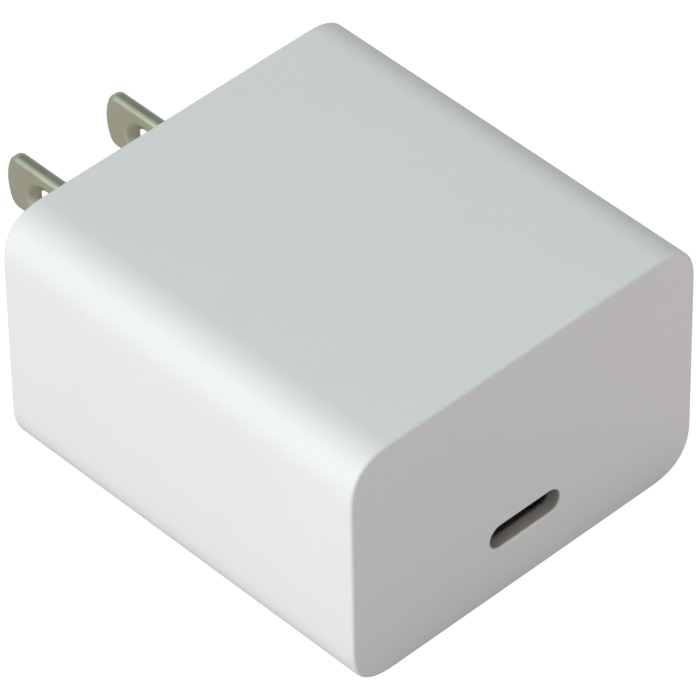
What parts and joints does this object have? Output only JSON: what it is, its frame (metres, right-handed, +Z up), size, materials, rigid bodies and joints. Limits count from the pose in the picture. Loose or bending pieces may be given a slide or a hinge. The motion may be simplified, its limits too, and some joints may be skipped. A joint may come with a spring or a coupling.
{
  "type": "laptop power adapter",
  "caption": "Compact wall-plug power adapter: rounded white block with two fixed flat blades at the back and a USB-C socket in the front face.",
  "frame": {"origin": "centre of the overall length and width, at the flat underside", "axes": "+Y out of the back face along the plug blades, +Z up, -Y out of the front face with the USB-C socket, +X to the right seen from the front"},
  "size_m": [0.0438, 0.063, 0.0282],
  "materials": {
    "housing": "fine satin white moulding",
    "back_cap": "fine satin white moulding",
    "left_blade": "satin nickel plating on brass",
    "right_blade": "satin nickel plating on brass",
    "blade_carrier": "black moulding",
    "left_contact_spring": "rolled bronze leaf",
    "right_contact_spring": "rolled bronze leaf",
    "usb_c_shell": "drawn stainless steel",
    "usb_c_tongue": "black moulding",
    "main_board": "solder mask on glass fibre laminate",
    "board_insulator": "polycarbonate film",
    "transformer_core_lower": "ground ferrite",
    "transformer_core_upper": "ground ferrite",
    "transformer_bobbin": "black phenolic moulding",
    "transformer_winding": "enamelled copper wire",
    "transformer_tape": "yellow polyester tape",
    "bulk_capacitor_rear": "aluminium can in dark sleeve",
    "bulk_capacitor_front": "aluminium can in dark sleeve",
    "output_capacitor_inner": "bare aluminium can",
    "output_capacitor_outer": "bare aluminium can",
    "x_capacitor": "yellow moulded box",
    "y_capacitor": "blue epoxy dip",
    "choke_core": "green coated ferrite ring",
    "choke_winding_front": "enamelled copper wire",
    "choke_winding_rear": "enamelled copper wire",
    "choke_base": "black moulding",
    "input_fuse": "brown moulded case",
    "bridge_rectifier": "black epoxy package",
    "thermistor": "dark green coated disc",
    "optocoupler": "white epoxy package",
    "primary_switch": "black epoxy package",
    "sync_rectifier": "black epoxy package",
    "port_controller": "black epoxy package",
    "isolation_barrier": "clear amber polyester sheet",
    "left_heat_spreader": "rolled aluminium sheet",
    "right_heat_spreader": "rolled aluminium sheet",
    "thermal_pad": "soft silicone pad"
  },
  "bodies": {
    "root": {"housing": "housing", "back_cap": "back_cap", "left_blade": "left_blade", "right_blade": "right_blade", "blade_carrier": "blade_carrier", "left_contact_spring": "left_contact_spring", "right_contact_spring": "right_contact_spring", "usb_c_shell": "usb_c_shell", "usb_c_tongue": "usb_c_tongue", "main_board": "main_board", "board_insulator": "board_insulator", "transformer_core_lower": "transformer_core_lower", "transformer_core_upper": "transformer_core_upper", "transformer_bobbin": "transformer_bobbin", "transformer_winding": "transformer_winding", "transformer_tape": "transformer_tape", "bulk_capacitor_rear": "bulk_capacitor_rear", "bulk_capacitor_front": "bulk_capacitor_front", "output_capacitor_inner": "output_capacitor_inner", "output_capacitor_outer": "output_capacitor_outer", "x_capacitor": "x_capacitor", "y_capacitor": "y_capacitor", "choke_core": "choke_core", "choke_winding_front": "choke_winding_front", "choke_winding_rear": "choke_winding_rear", "choke_base": "choke_base", "input_fuse": "input_fuse", "bridge_rectifier": "bridge_rectifier", "thermistor": "thermistor", "optocoupler": "optocoupler", "primary_switch": "primary_switch", "sync_rectifier": "sync_rectifier", "port_controller": "port_controller", "isolation_barrier": "isolation_barrier", "left_heat_spreader": "left_heat_spreader", "right_heat_spreader": "right_heat_spreader", "thermal_pad": "thermal_pad"}
  },
  "joints": []
}
